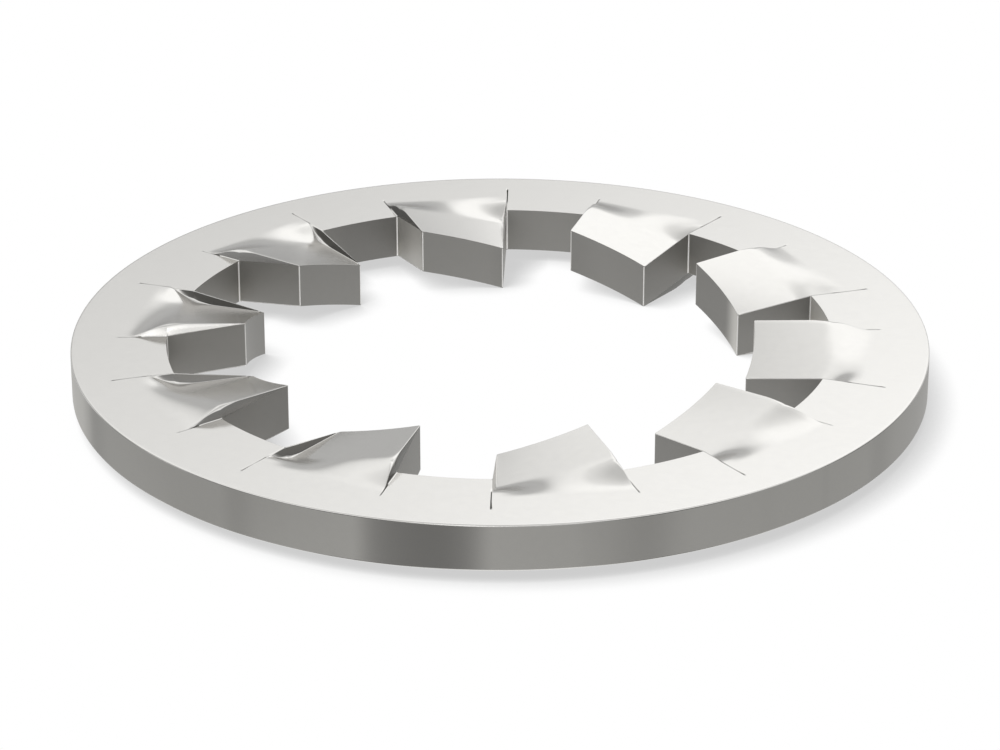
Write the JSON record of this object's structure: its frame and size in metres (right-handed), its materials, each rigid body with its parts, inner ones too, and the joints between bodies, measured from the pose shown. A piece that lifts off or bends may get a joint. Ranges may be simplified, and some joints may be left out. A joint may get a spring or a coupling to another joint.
{
  "type": "internal tooth lock washer",
  "caption": "Flat stamped ring whose inward teeth are sheared and twisted, so that their edges bite under a screw head or nut and keep it from turning loose.",
  "frame": {"origin": "on the washer's axis, level with the lowered tooth edges that it rests on, which is the centre of the bottom of its bounding box", "axes": "+Z runs along the washer's axis; +X and +Y lie in its plane, with the centre line of the first tooth 27.1 degrees from +X towards +Y; the washer is the same either way up"},
  "size_m": [0.018, 0.018, 0.0015],
  "materials": {
    "steel": "bright plated spring steel, smooth"
  },
  "bodies": {
    "root": {"lock_washer": "steel"}
  },
  "joints": []
}
